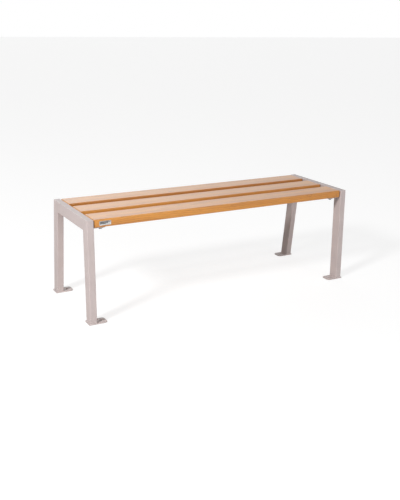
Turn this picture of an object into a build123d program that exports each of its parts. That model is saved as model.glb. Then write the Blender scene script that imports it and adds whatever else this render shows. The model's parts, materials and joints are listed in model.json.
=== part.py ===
from build123d import *
import math
import os

# A backless bench: two welded end frames of rectangular steel tube carry three
# wooden slats. Millimetres, +Z up. +X runs along the bench and -Y is its front.
# The origin lies on the floor, under the middle of the bench's outline.

# ---- Driving dimensions ------------------------------------------------------

SEAT_HEIGHT = 450.0  # floor to the top of the slats and of the rails
BENCH_LENGTH = 1330.0  # over the outer faces of the two end frames

# The tube of the end frames. Its width lies along the bench.
TUBE_WIDTH = 30.0
TUBE_DEPTH = 50.0  # a rail's height, and the breadth of a leg seen from the side
TUBE_WALL = 2.0
TUBE_INNER_RADIUS = 1.0  # corner inside the tube; the outer one is a wall larger

# How far each leg's outer face at the foot stands out from the rail's end.
FRONT_SPLAY = 10.0
REAR_SPLAY = 51.0

# Foot plates, welded under the legs.
FOOT_THICKNESS = 5.0
FOOT_OUTER_LIP = 6.0  # past the leg's outer face
FOOT_SIDE_LIP = 1.5  # past the leg's front and rear faces
FOOT_REACH = 48.0  # past the leg's inner face, towards the middle of the bench
FOOT_INNER_RADIUS = 14.0
FOOT_OUTER_RADIUS = 3.0
ANCHOR_HOLE = 11.0  # diameter, for an M10 floor anchor

# Slats.
SLAT_NAMES = ("front", "middle", "rear")
SLAT_WIDTH = 107.0
SLAT_THICKNESS = 33.5
SLAT_GAP = 43.5  # between neighbouring slats
SLAT_SETBACK = 4.0  # from a rail's end to the edge of the outermost slat
SLAT_END_GAP = 3.0  # from a slat's end to the rail
SLAT_EDGE_RADIUS = 4.0  # on every edge, the ends' included

# Support tabs, welded to the rails under each end of each slat.
TAB_WIDTH = 80.0
TAB_REACH = 60.0  # from the rail's inner face
TAB_THICKNESS = 6.0
TAB_CORNER_RADIUS = 8.0

# Fixings: a hex bolt with a wide washer, up through the tab into an insert.
BOLT_DIAMETER = 8.0
BOLT_LENGTH = 25.0  # under the head
BOLT_HEAD_FLATS = 13.0  # across the flats
BOLT_HEAD_HEIGHT = 5.3
BOLT_HEAD_CHAMFER = 0.8
BOLT_OFFSET = 40.0  # from the rail's inner face
BOLT_SPACING = 54.0  # between the two bolts of one tab
BOLT_HOLE_PLAY = 1.0  # added to the bolt's diameter in a tab
WASHER_DIAMETER = 24.0
WASHER_THICKNESS = 2.0
WASHER_BORE_PLAY = 0.4
INSERT_DIAMETER = 12.0
INSERT_LENGTH = 18.0
INSERT_PLAY = 0.2  # on diameter, in the slat's hole and around the bolt
INSERT_HOLE_SPARE = 3.0  # depth of the slat's hole beyond the bolt's tip

# Name plate, glued to the front slat's front face near its left end.
NAME_PLATE_LENGTH = 52.0
NAME_PLATE_HEIGHT = 18.0
NAME_PLATE_THICKNESS = 0.8
NAME_PLATE_RADIUS = 2.0
NAME_PLATE_OFFSET = 25.0  # from the left rail's inner face

# ---- Worked out from the driving dimensions ----------------------------------

frame_depth = (
    2 * SLAT_SETBACK + len(SLAT_NAMES) * SLAT_WIDTH + (len(SLAT_NAMES) - 1) * SLAT_GAP
)
# The feet reach equally far from the origin, so the rails lie a little forward.
front_y = -(frame_depth + REAR_SPLAY - FRONT_SPLAY) / 2
rear_y = front_y + frame_depth

outer_x = BENCH_LENGTH / 2
inner_x = outer_x - TUBE_WIDTH
frame_x = outer_x - TUBE_WIDTH / 2

slat_length = 2 * (inner_x - SLAT_END_GAP)
slat_pitch = SLAT_WIDTH + SLAT_GAP
slat_bottom = SEAT_HEIGHT - SLAT_THICKNESS
tab_bottom = slat_bottom - TAB_THICKNESS
washer_bottom = tab_bottom - WASHER_THICKNESS
bolt_tip = washer_bottom + BOLT_LENGTH

slat_y = {
    name: front_y + SLAT_SETBACK + SLAT_WIDTH / 2 + i * slat_pitch
    for i, name in enumerate(SLAT_NAMES)
}
bolt_x = inner_x - BOLT_OFFSET
bolt_ys = [
    y + side * BOLT_SPACING / 2 for y in slat_y.values() for side in (-1, 1)
]


# ---- End frames --------------------------------------------------------------


def tube(start, direction, length):
    """A straight tube whose axis starts at a point and runs along a direction."""
    section = Plane(origin=start, x_dir=(1, 0, 0), z_dir=direction)
    outer = RectangleRounded(TUBE_WIDTH, TUBE_DEPTH, TUBE_INNER_RADIUS + TUBE_WALL)
    inner = RectangleRounded(
        TUBE_WIDTH - 2 * TUBE_WALL, TUBE_DEPTH - 2 * TUBE_WALL, TUBE_INNER_RADIUS
    )
    return extrude(section * (outer - inner), amount=length)


class Corner:
    """Where a leg meets its rail: the outer corner, the leg's line and the mitre."""

    def __init__(self, y, outward, splay):
        self.point = Vector(-frame_x, y, SEAT_HEIGHT)
        self.drop = SEAT_HEIGHT - FOOT_THICKNESS
        self.along_rail = Vector(0, -outward, 0)
        self.down_leg = Vector(0, outward * splay, -self.drop).normalized()
        self.lean = math.atan2(splay, self.drop)
        self.outward = outward
        self.foot_y = y + outward * splay
        mitre_normal = (self.along_rail - self.down_leg).normalized()
        self.mitre = Plane(origin=self.point, x_dir=(1, 0, 0), z_dir=mitre_normal)

    def foot_depth(self):
        """The leg's depth where the foot plate's level cuts it."""
        return TUBE_DEPTH / math.cos(self.lean)


front_corner = Corner(front_y, -1, FRONT_SPLAY)
rear_corner = Corner(rear_y, 1, REAR_SPLAY)


def rail():
    """The left end frame's top rail, mitred at both ends."""
    start = Vector(-frame_x, front_y, SEAT_HEIGHT - TUBE_DEPTH / 2)
    body = tube(start, (0, 1, 0), frame_depth)
    for corner in (front_corner, rear_corner):
        body = split(body, bisect_by=corner.mitre, keep=Keep.TOP)
    return body


def leg(corner):
    """A left leg, from the mitre down to its foot plate."""
    inward = Vector(
        0, -corner.outward * math.cos(corner.lean), -math.sin(corner.lean)
    )
    start = corner.point + inward * (TUBE_DEPTH / 2)
    length = corner.drop / math.cos(corner.lean) + TUBE_DEPTH
    body = tube(start, corner.down_leg, length)
    body = split(body, bisect_by=corner.mitre, keep=Keep.BOTTOM)
    floor_cut = Plane.XY.offset(FOOT_THICKNESS)
    return split(body, bisect_by=floor_cut, keep=Keep.TOP)


def foot_centre_y(corner):
    return corner.foot_y - corner.outward * corner.foot_depth() / 2


def anchor_x():
    """The anchor hole stands in the middle of the plate's inner reach."""
    return inner_x - FOOT_REACH / 2


def foot_plate(corner):
    """The plate under a left leg, with its anchor hole."""
    low_x = -outer_x - FOOT_OUTER_LIP
    high_x = -inner_x + FOOT_REACH
    depth = corner.foot_depth() + 2 * FOOT_SIDE_LIP
    centre_y = foot_centre_y(corner)
    low_corner = Align.MIN, Align.CENTER, Align.MIN
    body = Pos(low_x, centre_y, 0) * Box(
        high_x - low_x, depth, FOOT_THICKNESS, align=low_corner
    )
    upright = body.edges().filter_by(Axis.Z).sort_by(Axis.X)
    body = fillet(upright[:2], FOOT_OUTER_RADIUS)
    upright = body.edges().filter_by(Axis.Z).sort_by(Axis.X)
    body = fillet(upright[-2:], FOOT_INNER_RADIUS)
    hole = Pos(-anchor_x(), centre_y, FOOT_THICKNESS / 2) * Cylinder(
        ANCHOR_HOLE / 2, 2 * FOOT_THICKNESS
    )
    return body - hole


def slat_tab(name):
    """The tab on the left rail that carries one slat's left end."""
    low_corner = Align.MIN, Align.CENTER, Align.MIN
    body = Pos(-inner_x, slat_y[name], tab_bottom) * Box(
        TAB_REACH, TAB_WIDTH, TAB_THICKNESS, align=low_corner
    )
    upright = body.edges().filter_by(Axis.Z).sort_by(Axis.X)
    body = fillet(upright[-2:], TAB_CORNER_RADIUS)
    for side in (-1, 1):
        hole_y = slat_y[name] + side * BOLT_SPACING / 2
        body -= Pos(-bolt_x, hole_y, tab_bottom + TAB_THICKNESS / 2) * Cylinder(
            (BOLT_DIAMETER + BOLT_HOLE_PLAY) / 2, 2 * TAB_THICKNESS
        )
    return body


# ---- Slats -------------------------------------------------------------------


def slat(name):
    """One slat, with a blind hole in its underside for each insert."""
    low = Align.CENTER, Align.CENTER, Align.MIN
    body = Pos(0, slat_y[name], slat_bottom) * Box(
        slat_length, SLAT_WIDTH, SLAT_THICKNESS, align=low
    )
    body = fillet(body.edges(), SLAT_EDGE_RADIUS)
    depth = bolt_tip - slat_bottom + INSERT_HOLE_SPARE
    for x in (-bolt_x, bolt_x):
        for side in (-1, 1):
            hole_y = slat_y[name] + side * BOLT_SPACING / 2
            body -= Pos(x, hole_y, slat_bottom) * Cylinder(
                (INSERT_DIAMETER + INSERT_PLAY) / 2, depth, align=low
            )
    return body


# ---- Fixings -----------------------------------------------------------------


def at_left_bolts(make):
    """One copy of a fixing at each bolt of the left end, as separate solids."""
    return [Pos(-bolt_x, y, 0) * make() for y in bolt_ys]


def bolt():
    """A hex bolt, its head down, on the Z axis."""
    low = Align.CENTER, Align.CENTER, Align.MIN
    head_bottom = washer_bottom - BOLT_HEAD_HEIGHT
    flats = BOLT_HEAD_FLATS / 2
    hexagon = RegularPolygon(flats, 6, major_radius=False)
    head = extrude(Plane.XY.offset(head_bottom) * hexagon, amount=BOLT_HEAD_HEIGHT)
    corner_radius = flats / math.cos(math.pi / 6)
    turned = Pos(0, 0, head_bottom) * Cylinder(corner_radius, BOLT_HEAD_HEIGHT, align=low)
    lower_rim = turned.edges().filter_by(GeomType.CIRCLE).sort_by(Axis.Z)[0]
    turned = chamfer(lower_rim, BOLT_HEAD_CHAMFER, BOLT_HEAD_CHAMFER * 1.7)
    shank = Pos(0, 0, washer_bottom) * Cylinder(BOLT_DIAMETER / 2, BOLT_LENGTH, align=low)
    return (head & turned) + shank


def washer():
    low = Align.CENTER, Align.CENTER, Align.MIN
    bore = BOLT_DIAMETER + WASHER_BORE_PLAY
    ring = Cylinder(WASHER_DIAMETER / 2, WASHER_THICKNESS, align=low)
    ring -= Cylinder(bore / 2, WASHER_THICKNESS, align=low)
    return Pos(0, 0, washer_bottom) * ring


def insert():
    """A threaded insert, flush with the slat's underside."""
    low = Align.CENTER, Align.CENTER, Align.MIN
    bore = BOLT_DIAMETER + INSERT_PLAY
    sleeve = Cylinder(INSERT_DIAMETER / 2, INSERT_LENGTH, align=low)
    sleeve -= Cylinder(bore / 2, INSERT_LENGTH, align=low)
    return Pos(0, 0, slat_bottom) * sleeve


def name_plate():
    """A thin plate with rounded corners, centred in the slat's height."""
    centre = Vector(
        -inner_x + NAME_PLATE_OFFSET + NAME_PLATE_LENGTH / 2,
        front_y + SLAT_SETBACK,
        slat_bottom + SLAT_THICKNESS / 2,
    )
    face = Plane(origin=centre, x_dir=(1, 0, 0), z_dir=(0, -1, 0))
    outline = RectangleRounded(NAME_PLATE_LENGTH, NAME_PLATE_HEIGHT, NAME_PLATE_RADIUS)
    return extrude(face * outline, amount=NAME_PLATE_THICKNESS)


# ---- Nodes -------------------------------------------------------------------


def both_ends(name, solids):
    """Write a left piece, and its mirror image as the right one."""
    write("left_" + name, solids)
    write("right_" + name, [mirror(solid, about=Plane.YZ) for solid in solids])


def write(name, solids):
    pieces = [solid for shape in solids for solid in shape.solids()]
    shape = pieces[0] if len(pieces) == 1 else Compound(children=pieces)
    shape.label = name
    export_step(shape, os.path.join("parts", name + ".step"))


os.makedirs("parts", exist_ok=True)

both_ends("rail", [rail()])
for end, corner in (("front", front_corner), ("rear", rear_corner)):
    both_ends(end + "_leg", [leg(corner)])
    both_ends(end + "_foot_plate", [foot_plate(corner)])
for slat_name in SLAT_NAMES:
    write(slat_name + "_slat", [slat(slat_name)])
    both_ends(slat_name + "_slat_tab", [slat_tab(slat_name)])
both_ends("slat_bolts", at_left_bolts(bolt))
both_ends("slat_washers", at_left_bolts(washer))
both_ends("slat_inserts", at_left_bolts(insert))
write("name_plate", [name_plate()])
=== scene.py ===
import json
import math

import bpy
from bpy.props import FloatProperty, FloatVectorProperty, IntProperty, PointerProperty
from mathutils import Matrix, Vector

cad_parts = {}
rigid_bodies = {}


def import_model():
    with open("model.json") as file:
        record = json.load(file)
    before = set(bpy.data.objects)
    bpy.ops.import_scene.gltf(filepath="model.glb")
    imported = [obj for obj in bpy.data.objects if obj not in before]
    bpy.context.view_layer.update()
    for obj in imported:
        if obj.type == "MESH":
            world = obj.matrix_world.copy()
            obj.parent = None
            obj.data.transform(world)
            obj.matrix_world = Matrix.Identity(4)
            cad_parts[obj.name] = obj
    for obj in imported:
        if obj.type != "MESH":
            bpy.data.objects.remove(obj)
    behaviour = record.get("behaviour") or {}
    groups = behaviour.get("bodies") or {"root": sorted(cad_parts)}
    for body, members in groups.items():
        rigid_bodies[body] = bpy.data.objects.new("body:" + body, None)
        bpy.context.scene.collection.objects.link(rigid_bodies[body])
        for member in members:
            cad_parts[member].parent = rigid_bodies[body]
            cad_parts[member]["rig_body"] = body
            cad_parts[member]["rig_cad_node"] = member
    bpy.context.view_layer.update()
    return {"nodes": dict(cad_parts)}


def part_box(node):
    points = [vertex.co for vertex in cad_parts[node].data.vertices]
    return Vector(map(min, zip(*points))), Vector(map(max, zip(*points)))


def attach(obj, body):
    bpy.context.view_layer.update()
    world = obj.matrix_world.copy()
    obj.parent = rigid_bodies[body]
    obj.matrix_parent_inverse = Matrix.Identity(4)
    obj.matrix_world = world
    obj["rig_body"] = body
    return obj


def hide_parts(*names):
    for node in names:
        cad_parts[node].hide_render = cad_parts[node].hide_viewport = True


bl_info = {
    "name": "Backless Bench",
    "version": (1, 0, 0),
    "blender": (4, 5, 0),
    "location": "View3D > Sidebar > Bench",
    "description": "Finishes the welded frame, the slats and the fixings of a backless bench",
    "category": "Object",
}

# The bench in metres, +Z up, +X along it, -Y its front, the floor at Z = 0.
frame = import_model()

MM = 0.001
SIDES = ("left", "right")
ENDS = ("front", "rear")
SLATS = ("front", "middle", "rear")
MERGE_DISTANCE = 0.002 * MM
FLAT_ANGLE = math.radians(0.3)
SMOOTH_ANGLE = math.radians(35)
SAME_LENGTH = 0.01 * MM
BRUSH_DEPTH = 0.02 * MM
ENAMEL_FLOW = 0.01 * MM
WELD_CORNER = 3 * MM
NOISE_ROUGHNESS = 0.55


# ---- Sizes and colours -------------------------------------------------------


class BenchPaint(bpy.types.PropertyGroup):
    """The powder coat of the steel and the welds under it"""

    colour: FloatVectorProperty(
        name="Paint", description="Colour of the powder coat",
        subtype="COLOR", size=3, min=0, max=1, default=(0.525, 0.452, 0.442),
    )
    shade: FloatVectorProperty(
        name="Paint shade", description="Colour where the coat lies thinner",
        subtype="COLOR", size=3, min=0, max=1, default=(0.500, 0.428, 0.418),
    )
    peel: FloatProperty(
        name="Orange peel", description="Height of the coat's fine dimples",
        unit="LENGTH", min=0, default=0.05 * MM,
    )
    edge: FloatProperty(
        name="Plate edge", description="Radius of the plates' painted edges",
        unit="LENGTH", min=0, default=0.7 * MM,
    )
    foot_bead: FloatProperty(
        name="Foot weld", description="Radius of the weld across a leg's inner and outer face",
        unit="LENGTH", min=0, default=2.6 * MM,
    )
    side_bead: FloatProperty(
        name="Side weld", description="Radius of the weld along a leg's front and rear face",
        unit="LENGTH", min=0, default=1.25 * MM,
    )
    tab_bead: FloatProperty(
        name="Tab weld", description="Radius of the weld under a slat tab",
        unit="LENGTH", min=0, default=2.4 * MM,
    )
    ripple: FloatProperty(
        name="Weld ripple", description="Distance between two ripples of a weld",
        unit="LENGTH", min=0.1 * MM, default=2.4 * MM,
    )


class BenchWood(bpy.types.PropertyGroup):
    """The stained and varnished slats"""

    light: FloatVectorProperty(
        name="Light wood", description="Stain over the soft early wood",
        subtype="COLOR", size=3, min=0, max=1, default=(0.660, 0.272, 0.030),
    )
    dark: FloatVectorProperty(
        name="Dark wood", description="Stain over the hard late wood",
        subtype="COLOR", size=3, min=0, max=1, default=(0.415, 0.140, 0.014),
    )
    knot: FloatVectorProperty(
        name="Knot", description="Stain in the knots and pores",
        subtype="COLOR", size=3, min=0, max=1, default=(0.150, 0.045, 0.010),
    )
    # Painted shade: the colour that darkens the slats' sides in the gaps, where shade falls between
    # them.
    painted_gap_shade: FloatVectorProperty(
        name="Sheltered wood", description="Stain on the sides that face a gap",
        subtype="COLOR", size=3, min=0, max=1, default=(0.370, 0.120, 0.010),
    )
    ring: FloatProperty(
        name="Ring pitch", description="Distance between two growth rings",
        unit="LENGTH", min=0.1 * MM, default=5.5 * MM,
    )
    relief: FloatProperty(
        name="Grain relief", description="Depth of the open pores under the varnish",
        unit="LENGTH", min=0, default=0.12 * MM,
    )


class BenchFixings(bpy.types.PropertyGroup):
    """Bolts, washers, inserts and the name plate"""

    zinc: FloatVectorProperty(
        name="Zinc", description="Colour of the zinc plating on bolts and washers",
        subtype="COLOR", size=3, min=0, max=1, default=(0.560, 0.570, 0.580),
    )
    brass: FloatVectorProperty(
        name="Brass", description="Colour of the threaded inserts",
        subtype="COLOR", size=3, min=0, max=1, default=(0.720, 0.480, 0.190),
    )
    aluminium: FloatVectorProperty(
        name="Aluminium", description="Colour of the name plate",
        subtype="COLOR", size=3, min=0, max=1, default=(0.640, 0.645, 0.650),
    )
    enamel: FloatVectorProperty(
        name="Enamel", description="Colour of the plain bars on the name plate",
        subtype="COLOR", size=3, min=0, max=1, default=(0.030, 0.032, 0.036),
    )
    edge: FloatProperty(
        name="Edge", description="Radius of the fixings' edges",
        unit="LENGTH", min=0, default=0.25 * MM,
    )
    rim: FloatProperty(
        name="Rim", description="Width of the name plate's raised rim",
        unit="LENGTH", min=0, default=1.3 * MM,
    )
    bars: IntProperty(
        name="Bars", description="Number of plain bars on the name plate",
        min=1, max=5, default=3,
    )


class BenchStage(bpy.types.PropertyGroup):
    """Floor, lights and camera"""

    floor_size: FloatProperty(
        name="Floor", description="Side of the square floor",
        unit="LENGTH", min=1, default=80,
    )
    windows: FloatProperty(
        name="Soft light", description="Strength of the wide soft windows round the bench",
        min=0, default=1.0,
    )
    bounce: FloatProperty(
        name="Floor bounce", description="How much light the floor throws back on the bench",
        min=0, max=1, default=0.7,
    )
    key: FloatProperty(
        name="Key light", description="What the main light gives at the bench, in watts a square metre",
        min=0, default=2.4,
    )
    key_distance: FloatProperty(
        name="Key distance", description="How far off the main light stands",
        unit="LENGTH", min=1, default=6,
    )
    key_heading: FloatProperty(
        name="Key heading", description="Where the main light stands, from the front towards the left",
        subtype="ANGLE", default=math.radians(65),
    )
    key_height: FloatProperty(
        name="Key height", description="Angle of the main light above the floor",
        subtype="ANGLE", default=math.radians(35),
    )
    key_size: FloatProperty(
        name="Key size", description="Angle that the main light spans, which softens its shadows",
        subtype="ANGLE", default=math.radians(10),
    )
    camera_place: FloatVectorProperty(
        name="Camera", description="Where the camera stands",
        subtype="TRANSLATION", unit="LENGTH", size=3, default=(-1.6648, -2.9502, 1.2406),
    )
    heading: FloatProperty(
        name="Heading", description="How far the camera looks right of straight back",
        subtype="ANGLE", default=math.radians(29.246),
    )
    pitch: FloatProperty(
        name="Pitch", description="How far the camera looks down",
        subtype="ANGLE", default=math.radians(17.510),
    )
    roll: FloatProperty(
        name="Roll", description="How far the camera leans",
        subtype="ANGLE", default=math.radians(0.957),
    )
    lens: FloatProperty(
        name="Lens", description="Focal length on a sensor 36 mm long, in millimetres",
        min=1, default=53.2,
    )


# ---- Mesh work ---------------------------------------------------------------


def select_only(piece):
    """Leave edit mode, and select and activate this piece alone."""
    if bpy.context.mode != "OBJECT":
        bpy.ops.object.mode_set(mode="OBJECT")
    bpy.ops.object.select_all(action="DESELECT")
    piece.select_set(True)
    bpy.context.view_layer.objects.active = piece


def deselect_all():
    if bpy.context.mode != "OBJECT":
        bpy.ops.object.mode_set(mode="OBJECT")
    bpy.ops.object.select_all(action="DESELECT")


def new_piece(name):
    """Name what a primitive operator has just added."""
    piece = bpy.context.view_layer.objects.active
    piece.name = name
    piece.data.name = name
    return piece


def apply_place(piece):
    select_only(piece)
    bpy.ops.object.transform_apply(location=True, rotation=True, scale=True)


def pick(piece, faces=None, edges=None, vertices=None):
    """Select the faces, edges or vertices for which a test holds, and enter edit mode."""
    select_only(piece)
    mesh = piece.data
    for parts in (mesh.polygons, mesh.edges, mesh.vertices):
        parts.foreach_set("select", [False] * len(parts))
    mode = "FACE" if faces else "EDGE" if edges else "VERT"
    bpy.ops.object.mode_set(mode="EDIT")
    bpy.ops.mesh.select_mode(type=mode)
    bpy.ops.object.mode_set(mode="OBJECT")
    parts, test = {
        "FACE": (mesh.polygons, faces),
        "EDGE": (mesh.edges, edges),
        "VERT": (mesh.vertices, vertices),
    }[mode]
    for part in parts:
        part.select = test(part)
    bpy.ops.object.mode_set(mode="EDIT")


def edge_ends(piece, edge):
    return [piece.data.vertices[i].co for i in edge.vertices]


def merged_copy(node_name, piece_name):
    """A copy of a CAD node with its triangles merged and its flat faces made whole."""
    select_only(frame["nodes"][node_name])
    bpy.ops.object.duplicate()
    piece = new_piece(piece_name)
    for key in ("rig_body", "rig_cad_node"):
        del piece[key]
    bpy.ops.mesh.customdata_custom_splitnormals_clear()
    bpy.ops.object.mode_set(mode="EDIT")
    bpy.ops.mesh.select_all(action="SELECT")
    bpy.ops.mesh.remove_doubles(threshold=MERGE_DISTANCE)
    bpy.ops.mesh.dissolve_limited(angle_limit=FLAT_ANGLE)
    bpy.ops.object.mode_set(mode="OBJECT")
    return piece


def round_edges(piece, radius, segments=3):
    """Round the sharp edges, and smooth what lies between them."""
    select_only(piece)
    bevel = piece.modifiers.new("Rounded edges", "BEVEL")
    bevel.width = radius
    bevel.segments = segments
    bevel.limit_method = "ANGLE"
    bevel.angle_limit = SMOOTH_ANGLE
    bevel.harden_normals = False
    bpy.ops.object.modifier_apply(modifier=bevel.name)
    bpy.ops.object.shade_smooth_by_angle(angle=SMOOTH_ANGLE)


def join(pieces, name):
    deselect_all()
    for piece in pieces:
        piece.select_set(True)
    bpy.context.view_layer.objects.active = pieces[0]
    bpy.ops.object.join()
    return new_piece(name)


def give_material(piece, material):
    piece.data.materials.clear()
    piece.data.materials.append(material)


def fit(piece, material, slot, *nodes):
    """Put a finished piece on the bench, in place of the CAD nodes that it stands for."""
    give_material(piece, material)
    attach(piece, "root")
    if nodes:
        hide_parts(*nodes)


# ---- Material nodes ----------------------------------------------------------


def put(tree, node, index, value):
    """Link a socket to a node's input, or set the input to a plain value."""
    if isinstance(value, bpy.types.NodeSocket):
        tree.links.new(value, node.inputs[index])
    else:
        node.inputs[index].default_value = value


class Surface:
    """A material with short ways to add and join its nodes."""

    def __init__(self, name):
        self.material = bpy.data.materials.new(name)
        self.material.use_nodes = True
        self.tree = self.material.node_tree
        self.shader = self.tree.nodes["Principled BSDF"]
        self.place = self.tree.nodes.new("ShaderNodeTexCoord").outputs["Object"]

    def set(self, **values):
        """Set the shader's own sockets: coat_roughness stands for Coat Roughness."""
        sockets = {s.name.lower().replace(" ", "_"): s for s in self.shader.inputs}
        for name, value in values.items():
            sockets[name].default_value = value

    def feed(self, source, socket, node=None):
        self.tree.links.new(source, (node or self.shader).inputs[socket])

    def mapped(self, location=(0, 0, 0), rotation=(0, 0, 0), scale=(1, 1, 1), source=None):
        node = self.tree.nodes.new("ShaderNodeMapping")
        node.inputs["Location"].default_value = location
        node.inputs["Rotation"].default_value = rotation
        node.inputs["Scale"].default_value = scale
        self.feed(source or self.place, "Vector", node)
        return node.outputs["Vector"]

    def noise(self, vector, scale, detail=3.0):
        node = self.tree.nodes.new("ShaderNodeTexNoise")
        node.inputs["Scale"].default_value = scale
        node.inputs["Detail"].default_value = detail
        node.inputs["Roughness"].default_value = NOISE_ROUGHNESS
        self.feed(vector, "Vector", node)
        return node.outputs["Fac"]

    def ramp(self, value, low, high, start=0.0, end=1.0):
        """Stretch a value smoothly, from low..high to start..end."""
        node = self.tree.nodes.new("ShaderNodeMapRange")
        node.interpolation_type = "SMOOTHSTEP"
        for name, number in zip(("From Min", "From Max", "To Min", "To Max"), (low, high, start, end)):
            node.inputs[name].default_value = number
        self.feed(value, "Value", node)
        return node.outputs["Result"]

    def blend(self, factor, first, second):
        """Mix two colours, each a colour or a socket."""
        node = self.tree.nodes.new("ShaderNodeMix")
        node.data_type = "RGBA"
        node.clamp_factor = True
        self.feed(factor, 0, node)
        for index, colour in ((6, first), (7, second)):
            is_socket = isinstance(colour, bpy.types.NodeSocket)
            put(self.tree, node, index, colour if is_socket else (*colour, 1))
        return node.outputs[2]

    def math(self, operation, first, second=0.0):
        node = self.tree.nodes.new("ShaderNodeMath")
        node.operation = operation
        for index, value in enumerate((first, second)):
            put(self.tree, node, index, value)
        return node.outputs["Value"]

    def vector_math(self, operation, first, second):
        node = self.tree.nodes.new("ShaderNodeVectorMath")
        node.operation = operation
        for index, value in enumerate((first, second)):
            put(self.tree, node, index, value)
        return node.outputs["Value" if operation in ("DISTANCE", "LENGTH") else "Vector"]

    def bump(self, height, distance, before=None):
        """Raise the surface by up to a distance where the height is one."""
        node = self.tree.nodes.new("ShaderNodeBump")
        node.inputs["Distance"].default_value = distance
        self.feed(height, "Height", node)
        if before:
            self.feed(before, "Normal", node)
        return node.outputs["Normal"]


def powder_coat(paint):
    """Matt paint, baked on: fine dimples, a faint mottle and a slightly uneven gloss."""
    coat = Surface("powder_coat")
    mottle = coat.ramp(coat.noise(coat.place, 14, detail=4), 0.35, 0.65)
    coat.feed(coat.blend(mottle, paint.shade, paint.colour), "Base Color")
    coat.feed(coat.ramp(coat.noise(coat.place, 60), 0.3, 0.7, 0.38, 0.48), "Roughness")
    peel = coat.noise(coat.place, 700, detail=2)
    coat.feed(coat.bump(peel, paint.peel), "Normal")
    coat.set(specular_ior_level=0.5)
    return coat.material


# Knots of each slat: place along it, across it and in its height from its middle, and radius.
KNOTS = {
    "front": ((0.452, -0.050, 0.004, 0.006), (-0.205, 0.022, 0.017, 0.006)),
    "middle": ((0.235, 0.018, 0.017, 0.009), (-0.470, -0.030, 0.014, 0.006)),
    "rear": ((-0.120, -0.024, 0.017, 0.008), (0.530, 0.028, 0.012, 0.007)),
}
# A knot is this share as thick as it is long.
KNOT_SQUEEZE = 0.38
# How much painted shade darkens a slat's sides in the gaps between the slats, and which of its sides
# those are: -1 for the front one and 1 for the rear one.
GAP_SHADE = {"front": (0.35, (1,)), "middle": (0.25, (-1, 1)), "rear": (0.75, (-1,))}
# How far in from such a side the painted shade starts, and where it is full.
GAP_SHADE_START = 3 * MM
GAP_SHADE_FULL = 0.8 * MM
# Where the heart of the log lies from each slat's middle, across it and in its height.
HEARTS = {"front": (0.012, -0.060), "middle": (-0.070, -0.045), "rear": (0.046, -0.075)}


def stained_wood(wood, name, middle, half_width):
    """Varnished wood: growth rings about the log's heart, streaks, pores, knots, and painted shade on
    its sides in the gaps.
    """
    slat = Surface(name + "_slat_wood")
    place = slat.mapped(location=-middle)
    # The log tapers and wanders, so its rings run out of the slat's faces in long arches.
    heart_y, heart_z = HEARTS[name]
    drift = slat.mapped(scale=(1.6, 6, 6), source=place)
    wander = slat.noise(drift, 1.0, detail=2)
    turned = slat.mapped(
        location=(0, -heart_y, -heart_z),
        rotation=(0, math.radians(1.3), math.radians(-1.0)),
        source=place,
    )
    across = slat.vector_math("MULTIPLY", turned, (0, 1, 1))
    radius = slat.vector_math("LENGTH", across, (0, 0, 0))
    radius = slat.math("ADD", radius, slat.math("MULTIPLY", wander, 0.045))
    knots = None
    for x, y, z, size in KNOTS[name]:
        squeezed = slat.mapped(scale=(KNOT_SQUEEZE, 1, 1), source=place)
        apart = slat.vector_math("DISTANCE", squeezed, (KNOT_SQUEEZE * x, y, z))
        swell = slat.ramp(apart, 0.4 * size, 2.6 * size, 1, 0)
        radius = slat.math("ADD", radius, slat.math("MULTIPLY", swell, 1.5 * size))
        eye = slat.ramp(apart, 0.35 * size, 0.8 * size, 1, 0)
        knots = eye if knots is None else slat.math("MAXIMUM", knots, eye)
    rings = slat.math("FRACT", slat.math("DIVIDE", radius, wood.ring))
    late = slat.ramp(rings, 0.45, 0.98)
    late = slat.math("MULTIPLY", late, slat.ramp(rings, 1.0, 0.985))
    # Fine streaks of the fibres, and short dark pores.
    fibre = slat.noise(slat.mapped(scale=(5, 190, 190), source=place), 1.0, detail=4)
    streak = slat.ramp(slat.noise(slat.mapped(scale=(2.2, 42, 42), source=place), 1.0), 0.36, 0.68)
    pore = slat.noise(slat.mapped(scale=(38, 760, 760), source=place), 1.0, detail=2)
    pore = slat.ramp(pore, 0.60, 0.70)
    patch = slat.ramp(slat.noise(slat.mapped(scale=(1.5, 7, 7), source=place), 1.0), 0.3, 0.7)
    depth = slat.math("MULTIPLY", late, 0.50)
    depth = slat.math("ADD", depth, slat.math("MULTIPLY", streak, 0.44))
    depth = slat.math("ADD", depth, slat.math("MULTIPLY", fibre, 0.16))
    depth = slat.math("ADD", depth, slat.math("MULTIPLY", patch, 0.14))
    colour = slat.blend(slat.math("SUBTRACT", depth, 0.18), wood.light, wood.dark)
    # Painted shade: the sides that face a gap are darkened towards the gap shade colour.
    strength, sides = GAP_SHADE[name]
    axes = slat.tree.nodes.new("ShaderNodeSeparateXYZ")
    slat.feed(place, "Vector", axes)
    for side in sides:
        out = slat.math("MULTIPLY", axes.outputs["Y"], side)
        painted_gap_shade = slat.ramp(out, half_width - GAP_SHADE_START, half_width - GAP_SHADE_FULL, 0, strength)
        colour = slat.blend(painted_gap_shade, colour, wood.painted_gap_shade)
    dark = slat.math("MAXIMUM", slat.math("MULTIPLY", pore, 0.45), slat.math("MULTIPLY", knots, 0.6))
    colour = slat.blend(dark, colour, wood.knot)
    slat.feed(colour, "Base Color")
    slat.feed(slat.ramp(fibre, 0.3, 0.7, 0.42, 0.58), "Roughness")
    grain = slat.bump(slat.math("SUBTRACT", 1.0, pore), wood.relief)
    grain = slat.bump(fibre, wood.relief, before=grain)
    slat.feed(grain, "Normal")
    slat.set(coat_weight=1.0, coat_roughness=0.34, coat_ior=1.5, specular_ior_level=0.5)
    return slat.material


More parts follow.
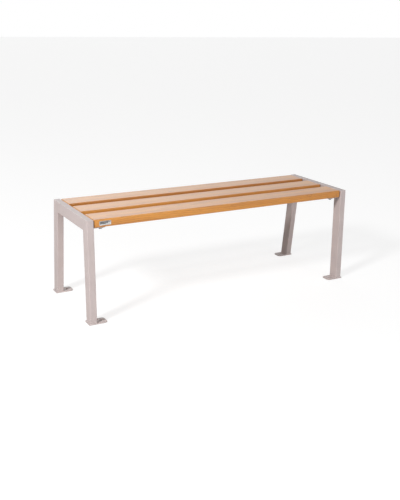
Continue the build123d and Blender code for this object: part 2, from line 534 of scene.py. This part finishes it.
def brushed_metal(name, colour, roughness, stretch):
    """Bare or plated metal with fine lines along its longest stretch."""
    metal = Surface(name)
    lines = metal.noise(metal.mapped(scale=stretch), 1.0, detail=3)
    worn = metal.noise(metal.place, 90, detail=4)
    dull = tuple(0.72 * part for part in colour)
    metal.feed(metal.blend(metal.ramp(worn, 0.35, 0.7), colour, dull), "Base Color")
    metal.feed(metal.ramp(lines, 0.3, 0.7, roughness - 0.07, roughness + 0.09), "Roughness")
    metal.feed(metal.bump(lines, BRUSH_DEPTH), "Normal")
    metal.set(metallic=1.0)
    return metal.material


def enamel(colour):
    """Glossy enamel with a little flow in its surface."""
    paint = Surface("enamel_bars")
    flow = paint.noise(paint.place, 900, detail=2)
    faded = tuple(1.6 * part for part in colour)
    paint.feed(paint.blend(paint.ramp(flow, 0.3, 0.7), colour, faded), "Base Color")
    paint.feed(paint.ramp(flow, 0.3, 0.7, 0.25, 0.35), "Roughness")
    paint.feed(paint.bump(flow, ENAMEL_FLOW), "Normal")
    return paint.material


def coated_steel():
    """The one powder coat that every steel piece shares."""
    return bpy.data.materials.get("powder_coat") or powder_coat(bpy.context.scene.bench_paint)


# ---- Steel -------------------------------------------------------------------


def lowest_and_highest(points):
    """Lowest and highest corner of some points."""
    low = Vector(min(point[i] for point in points) for i in range(3))
    high = Vector(max(point[i] for point in points) for i in range(3))
    return low, high


def section_at(node_name, level, tolerance=0.05 * MM):
    """Lowest and highest corner of a node's vertices at one height."""
    mesh = frame["nodes"][node_name].data
    return lowest_and_highest([v.co for v in mesh.vertices if abs(v.co.z - level) < tolerance])


def bead_from_path(path, name, radius_at, thickest):
    """Turn a chain of edges into a weld bead whose radius ripples along it."""
    select_only(path)
    bpy.ops.object.convert(target="CURVE")
    curve = path.data
    curve.dimensions = "3D"
    curve.bevel_depth = thickest
    curve.bevel_resolution = 2
    curve.use_fill_caps = True
    for spline in curve.splines:
        for index, point in enumerate(spline.points):
            ripple = 1.0 if index % 2 else 0.86
            point.radius = ripple * radius_at(point.co.xyz) / thickest
    bpy.ops.object.convert(target="MESH")
    bpy.ops.object.mode_set(mode="EDIT")
    bpy.ops.mesh.select_all(action="SELECT")
    bpy.ops.mesh.remove_doubles(threshold=MERGE_DISTANCE)
    bpy.ops.mesh.normals_make_consistent(inside=False)
    bpy.ops.object.mode_set(mode="OBJECT")
    bpy.ops.object.shade_smooth()
    return new_piece(name)


def cut_evenly(piece, pitch):
    """Cut the long edges of a chain into pieces of about one pitch."""

    def length_of(edge):
        first, second = edge_ends(piece, edge)
        return (first - second).length

    lengths = {round(length_of(edge), 5) for edge in piece.data.edges}
    for length in sorted(lengths, reverse=True):
        cuts = round(length / pitch) - 1
        if cuts > 0:
            pick(piece, edges=lambda edge: abs(length_of(edge) - length) < SAME_LENGTH)
            bpy.ops.mesh.subdivide(number_cuts=cuts)
            bpy.ops.object.mode_set(mode="OBJECT")


def weld_round_leg(node_name, paint):
    """The weld between a leg and its foot plate, round the leg's four faces."""
    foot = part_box(node_name)[0].z
    low, high = section_at(node_name, foot)
    middle, size = (low + high) / 2, high - low
    deselect_all()
    bpy.ops.mesh.primitive_plane_add(size=1, location=middle)
    path = new_piece(node_name + "_weld_path")
    path.scale = size.x, size.y, 1
    apply_place(path)
    pick(path, vertices=lambda v: True)
    bpy.ops.mesh.bevel(offset=WELD_CORNER, segments=3, affect="VERTICES")
    bpy.ops.mesh.select_all(action="SELECT")
    bpy.ops.mesh.delete(type="ONLY_FACE")
    bpy.ops.object.mode_set(mode="OBJECT")
    cut_evenly(path, paint.ripple / 2)

    def radius_at(point):
        """Thick across the inner and outer face, thin where the plate has only a narrow lip."""
        across = max(0.0, abs(point.x - middle.x) / (size.x / 2) - 0.8) / 0.2
        along = 1 - max(0.0, abs(point.y - middle.y) / (size.y / 2) - 0.8) / 0.2
        share = min(1.0, across) * max(0.0, min(1.0, along))
        return paint.side_bead + share * (paint.foot_bead - paint.side_bead)

    return bead_from_path(path, node_name + "_foot_weld", radius_at, paint.foot_bead)


def straight_weld(name, start, end, radius, pitch):
    """A straight weld bead, tapering at its two ends."""
    deselect_all()
    bpy.ops.mesh.primitive_plane_add(size=1)
    path = new_piece(name + "_path")
    pick(path, vertices=lambda v: v.co.y > 0)
    bpy.ops.mesh.delete(type="VERT")
    bpy.ops.object.mode_set(mode="OBJECT")
    for vertex, point in zip(path.data.vertices, (start, end)):
        vertex.co = point
    cut_evenly(path, pitch / 2)

    def radius_at(point):
        near = min((point - start).length, (point - end).length)
        return radius * (0.45 + 0.55 * min(1.0, near / (2 * radius)))

    return bead_from_path(path, name, radius_at, radius)


class BENCH_OT_frame_paint(bpy.types.Operator):
    """Paint the rails and legs, and finish the edges of the foot plates and slat tabs"""

    bl_idname = "bench.frame_paint"
    bl_label = "Frame Steel"

    def execute(self, context):
        paint = context.scene.bench_paint
        steel = coated_steel()
        for side in SIDES:
            for name in ("rail", "front_leg", "rear_leg"):
                give_material(frame["nodes"][f"{side}_{name}"], steel)
            plates = [f"{end}_foot_plate" for end in ENDS] + [f"{slat}_slat_tab" for slat in SLATS]
            for name in plates:
                node = f"{side}_{name}"
                piece = merged_copy(node, node + "_steel")
                round_edges(piece, paint.edge)
                fit(piece, steel, "frame_paint", node)
        return {"FINISHED"}


class BENCH_OT_welds(bpy.types.Operator):
    """Lay the weld beads round the legs' feet, in the frames' inner corners and under the slat tabs"""

    bl_idname = "bench.welds"
    bl_label = "Welds"

    def execute(self, context):
        paint = context.scene.bench_paint
        steel = coated_steel()
        for side in SIDES:
            for end in ENDS:
                fit(weld_round_leg(f"{side}_{end}_leg", paint), steel, "frame_paint")
            self.corner_welds(side, paint, steel)
            self.tab_welds(side, paint, steel)
        return {"FINISHED"}

    def corner_welds(self, side, paint, steel):
        """One bead in each corner under the rail, where it meets a leg."""
        rail = f"{side}_rail"
        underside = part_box(rail)[0].z
        low, high = section_at(rail, underside)
        beads = [
            straight_weld(
                f"{side}_{end}_corner", Vector((low.x, y, underside)), Vector((high.x, y, underside)),
                paint.side_bead, paint.ripple,
            )
            for end, y in zip(ENDS, (low.y, high.y))
        ]
        fit(join(beads, f"{side}_corner_welds"), steel, "frame_paint")

    def tab_welds(self, side, paint, steel):
        """One bead under each tab, against the rail's inner face."""
        rail_low, rail_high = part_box(f"{side}_rail")
        inner = rail_high.x if side == "left" else rail_low.x
        beads = []
        for slat in SLATS:
            low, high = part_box(f"{side}_{slat}_slat_tab")
            start = Vector((inner, low.y + 2 * paint.tab_bead, low.z))
            end = Vector((inner, high.y - 2 * paint.tab_bead, low.z))
            beads.append(straight_weld(f"{side}_{slat}_tab", start, end, paint.tab_bead, paint.ripple))
        fit(join(beads, f"{side}_tab_welds"), steel, "frame_paint")


# ---- Slats -------------------------------------------------------------------


class BENCH_OT_slats(bpy.types.Operator):
    """Stain and varnish the three slats, each cut from its own place in the log"""

    bl_idname = "bench.slats"
    bl_label = "Slats"

    def execute(self, context):
        for name in SLATS:
            low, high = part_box(name + "_slat")
            half_width = (high.y - low.y) / 2
            wood = stained_wood(context.scene.bench_wood, name, (low + high) / 2, half_width)
            give_material(frame["nodes"][name + "_slat"], wood)
        return {"FINISHED"}


# ---- Fixings -----------------------------------------------------------------


class BENCH_OT_fixings(bpy.types.Operator):
    """Plate the bolts and washers, and finish the inserts in the slats"""

    bl_idname = "bench.fixings"
    bl_label = "Bolts and Washers"

    def execute(self, context):
        fixings = context.scene.bench_fixings
        zinc = brushed_metal("zinc_plating", fixings.zinc, 0.34, (300, 300, 60))
        brass = brushed_metal("insert_brass", fixings.brass, 0.30, (60, 60, 700))
        for side in SIDES:
            for name in ("slat_bolts", "slat_washers"):
                node = f"{side}_{name}"
                piece = merged_copy(node, node + "_zinc")
                round_edges(piece, fixings.edge, segments=2)
                fit(piece, zinc, "fixings", node)
            give_material(frame["nodes"][side + "_slat_inserts"], brass)
        return {"FINISHED"}


# ---- Name plate --------------------------------------------------------------


class BENCH_OT_name_plate(bpy.types.Operator):
    """Press the name plate's raised rim and set its plain bars"""

    bl_idname = "bench.name_plate"
    bl_label = "Name Plate"

    recess = 0.30 * MM
    corner = 2 * MM

    def execute(self, context):
        fixings = context.scene.bench_fixings
        low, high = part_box("name_plate")
        plate = self.plate(low, high, fixings)
        metal = brushed_metal("name_plate_aluminium", fixings.aluminium, 0.40, (30, 400, 900))
        fit(plate, metal, "name_plate_metal", "name_plate")
        fit(self.bars(low, high, fixings), enamel(fixings.enamel), "name_plate_metal")
        return {"FINISHED"}

    def block(self, name, low, high):
        """A block from corner to corner."""
        deselect_all()
        bpy.ops.mesh.primitive_cube_add(size=1, location=(low + high) / 2)
        piece = new_piece(name)
        piece.scale = high - low
        apply_place(piece)
        return piece

    def round_upright_edges(self, piece, radius, segments):
        """Round the four edges that run from the front to the back."""

        def runs_back(edge):
            first, second = edge_ends(piece, edge)
            return abs(first.y - second.y) > 0.9 * (first - second).length

        pick(piece, edges=runs_back)
        bpy.ops.mesh.bevel(offset=radius, segments=segments, affect="EDGES")
        bpy.ops.object.mode_set(mode="OBJECT")

    def plate(self, low, high, fixings):
        plate = self.block("name_plate_pressing", low, high)
        self.round_upright_edges(plate, self.corner, 6)
        pick(plate, faces=lambda face: face.normal.y < -0.9)
        bpy.ops.mesh.inset(thickness=fixings.rim)
        bpy.ops.transform.translate(value=(0, self.recess, 0))
        bpy.ops.object.mode_set(mode="OBJECT")
        round_edges(plate, 0.12 * MM, segments=2)
        return plate

    def bars(self, low, high, fixings):
        """Bars of falling length, proud of the recess and lower than the rim."""
        margin = 2.5 * fixings.rim
        field_low = Vector((low.x + margin, low.y + 0.08 * MM, low.z + margin))
        field_high = Vector((high.x - margin, low.y + self.recess + 0.1 * MM, high.z - margin))
        pitch = (field_high.z - field_low.z) / fixings.bars
        made = []
        for index in range(fixings.bars):
            length = (field_high.x - field_low.x) * (1 - 0.22 * index)
            top = field_high.z - index * pitch
            start = Vector((field_low.x, field_low.y, top - 0.62 * pitch))
            end = Vector((field_low.x + length, field_high.y, top))
            bar = self.block(f"name_plate_bar_{index}", start, end)
            self.round_upright_edges(bar, 0.25 * pitch, 4)
            round_edges(bar, 0.06 * MM, segments=2)
            made.append(bar)
        return join(made, "name_plate_bars")


# ---- Stage -------------------------------------------------------------------


# The soft windows: heading from the front towards the left and height above the floor, in degrees,
# strength, and the power that gathers each one about its middle.
WINDOWS = {
    "front": (-10, 10, 4.0, 14),
    "right": (-50, 10, 1.5, 12),
    "left": (100, 15, 0.5, 6),
    "rear": (180, 15, 1.5, 8),
    "rear_right": (-150, 30, 1.0, 8),
}


# The floor's light is a little warm.
BOUNCE_TINT = (1, 0.96, 0.93)


def direction(heading, height):
    """The way to a light, its heading counted from the bench's front towards its left."""
    flat = math.cos(height)
    return Vector((-math.sin(heading) * flat, -math.cos(heading) * flat, math.sin(height)))


class BENCH_OT_stage(bpy.types.Operator):
    """Lay the floor, set the lights and place the camera"""

    bl_idname = "bench.stage"
    bl_label = "Floor, Lights and Camera"

    def execute(self, context):
        stage = context.scene.bench_stage
        self.floor(stage)
        self.surroundings(context.scene, stage)
        self.key_light(stage)
        self.camera(context.scene, stage)
        context.scene.view_settings.view_transform = "Standard"
        return {"FINISHED"}

    def floor(self, stage):
        """A pale floor that throws light back on the bench, and that the camera sees nearly white."""
        deselect_all()
        bpy.ops.mesh.primitive_plane_add(size=stage.floor_size)
        floor = new_piece("studio_floor")
        matt = Surface("studio_floor_matt")
        matt.set(base_color=(0.28, 0.28, 0.28, 1), roughness=0.9, specular_ior_level=0.1)
        matt.set(emission_color=(1, 1, 1, 1), emission_strength=0.78)
        thrown = matt.tree.nodes.new("ShaderNodeBsdfDiffuse")
        thrown.inputs["Color"].default_value = (*(part * stage.bounce for part in BOUNCE_TINT), 1)
        self.seen_otherwise(matt.tree, thrown, matt.shader, "Material Output")
        give_material(floor, matt.material)

    def seen_otherwise(self, tree, lit, seen, output):
        """Light the bench by one shader, and show the camera another."""
        path = tree.nodes.new("ShaderNodeLightPath")
        mix = tree.nodes.new("ShaderNodeMixShader")
        tree.links.new(path.outputs["Is Camera Ray"], mix.inputs[0])
        tree.links.new(lit.outputs[0], mix.inputs[1])
        tree.links.new(seen.outputs[0], mix.inputs[2])
        tree.links.new(mix.outputs[0], tree.nodes[output].inputs["Surface"])

    def surroundings(self, scene, stage):
        """Soft windows round the bench; the camera itself sees plain white."""
        world = bpy.data.worlds.new("studio_white")
        scene.world = world
        world.use_nodes = True
        tree = world.node_tree
        way = tree.nodes.new("ShaderNodeTexCoord").outputs["Generated"]
        total = 0.0
        for heading, height, strength, power in WINDOWS.values():
            facing = tree.nodes.new("ShaderNodeVectorMath")
            facing.operation = "DOT_PRODUCT"
            facing.inputs[1].default_value = direction(math.radians(heading), math.radians(height))
            tree.links.new(way, facing.inputs[0])
            value = facing.outputs["Value"]
            steps = (
                ("MAXIMUM", 0.0),
                ("POWER", power),
                ("MULTIPLY", strength * stage.windows),
                ("ADD", total),
            )
            for operation, second in steps:
                node = tree.nodes.new("ShaderNodeMath")
                node.operation = operation
                put(tree, node, 0, value)
                put(tree, node, 1, second)
                value = node.outputs["Value"]
            total = value
        lit = tree.nodes["Background"]
        lit.inputs["Color"].default_value = (1, 1, 1, 1)
        tree.links.new(total, lit.inputs["Strength"])
        seen = tree.nodes.new("ShaderNodeBackground")
        seen.inputs["Color"].default_value = (1, 1, 1, 1)
        self.seen_otherwise(tree, lit, seen, "World Output")

    def key_light(self, stage):
        """A round light aimed at the origin, under the middle of the seat."""
        deselect_all()
        away = direction(stage.key_heading, stage.key_height)
        bpy.ops.object.light_add(type="AREA", location=stage.key_distance * away)
        light = bpy.context.object
        light.name = "key_light"
        light.data.shape = "DISK"
        light.data.size = 2 * stage.key_distance * math.tan(stage.key_size / 2)
        light.data.energy = stage.key * math.pi * stage.key_distance**2
        light.visible_camera = False
        light.rotation_euler = (-light.location).to_track_quat("-Z", "Y").to_euler()

    def camera(self, scene, stage):
        deselect_all()
        bpy.ops.object.camera_add(location=stage.camera_place)
        camera = bpy.context.object
        camera.name = "camera"
        turn = (
            Matrix.Rotation(-stage.heading, 3, "Z")
            @ Matrix.Rotation(math.pi / 2 - stage.pitch, 3, "X")
            @ Matrix.Rotation(stage.roll, 3, "Z")
        )
        camera.rotation_euler = turn.to_euler()
        camera.data.sensor_width = 36
        camera.data.lens = stage.lens
        camera.data.clip_end = 200
        scene.camera = camera


# ---- Add-on ------------------------------------------------------------------


class BENCH_PT_panel(bpy.types.Panel):
    """The steps that finish the bench, in order"""

    bl_label = "Backless Bench"
    bl_space_type = "VIEW_3D"
    bl_region_type = "UI"
    bl_category = "Bench"

    def draw(self, context):
        for operator in OPERATORS:
            self.layout.operator(operator.bl_idname)
        for name in SETTINGS:
            settings = getattr(context.scene, name)
            box = self.layout.box()
            box.label(text=name.removeprefix("bench_").capitalize())
            for prop in settings.bl_rna.properties:
                if prop.identifier not in ("rna_type", "name"):
                    box.prop(settings, prop.identifier)


SETTINGS = {
    "bench_paint": BenchPaint,
    "bench_wood": BenchWood,
    "bench_fixings": BenchFixings,
    "bench_stage": BenchStage,
}
OPERATORS = (
    BENCH_OT_frame_paint,
    BENCH_OT_welds,
    BENCH_OT_slats,
    BENCH_OT_fixings,
    BENCH_OT_name_plate,
    BENCH_OT_stage,
)


def register():
    for group in SETTINGS.values():
        bpy.utils.register_class(group)
    for name, group in SETTINGS.items():
        setattr(bpy.types.Scene, name, PointerProperty(type=group))
    for operator in OPERATORS:
        bpy.utils.register_class(operator)
    bpy.utils.register_class(BENCH_PT_panel)


def unregister():
    bpy.utils.unregister_class(BENCH_PT_panel)
    for operator in reversed(OPERATORS):
        bpy.utils.unregister_class(operator)
    for name, group in SETTINGS.items():
        delattr(bpy.types.Scene, name)
        bpy.utils.unregister_class(group)


def main():
    register()
    bpy.ops.bench.frame_paint()
    bpy.ops.bench.welds()
    bpy.ops.bench.slats()
    bpy.ops.bench.fixings()
    bpy.ops.bench.name_plate()
    bpy.ops.bench.stage()


if __name__ == "__main__":
    main()
